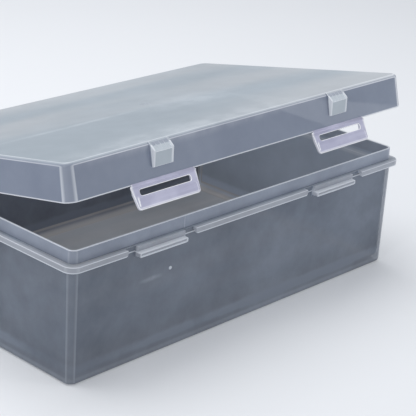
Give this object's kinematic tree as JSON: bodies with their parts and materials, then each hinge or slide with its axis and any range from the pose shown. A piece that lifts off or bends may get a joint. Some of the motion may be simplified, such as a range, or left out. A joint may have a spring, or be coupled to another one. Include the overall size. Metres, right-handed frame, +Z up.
{
  "type": "storage box",
  "caption": "Clear plastic storage box for seed packets: a deep tray, a shallow lid on snap-in rear hinges, and slotted flap latches that snap over bars on the tray's front.",
  "frame": {"origin": "centre of the tray's flat underside, on the surface that the box stands on", "axes": "+X along the latch side from left to right, +Y from the latch side to the hinge side, +Z up"},
  "size_m": [0.25, 0.169, 0.1133],
  "materials": {
    "tray_plastic": "frosted translucent polypropylene",
    "lid_plastic": "frosted translucent polypropylene",
    "latch_plastic": "glossy translucent polypropylene, paler than the box"
  },
  "bodies": {
    "tray": {"tray": "tray_plastic"},
    "lid": {"lid": "lid_plastic"},
    "latch_left": {"latch_left": "latch_plastic"},
    "latch_right": {"latch_right": "latch_plastic"}
  },
  "joints": [
    {"name": "lid_hinge", "type": "hinge", "parent": "tray", "child": "lid", "pos_m": [0, 0.08248, 0.0678], "axis": [-1, 0, 0], "range_deg": [-11.2, 168.8]},
    {"name": "latch_left_hinge", "type": "hinge", "parent": "lid", "child": "latch_left", "pos_m": [-0.066, -0.07729, 0.09485], "axis": [-1, 0, 0], "range_deg": [-20.5, 144.5], "stiffness_Nm_per_rad": 0.002},
    {"name": "latch_right_hinge", "type": "hinge", "parent": "lid", "child": "latch_right", "pos_m": [0.066, -0.07729, 0.09485], "axis": [-1, 0, 0], "range_deg": [-20.5, 144.5], "stiffness_Nm_per_rad": 0.002}
  ]
}
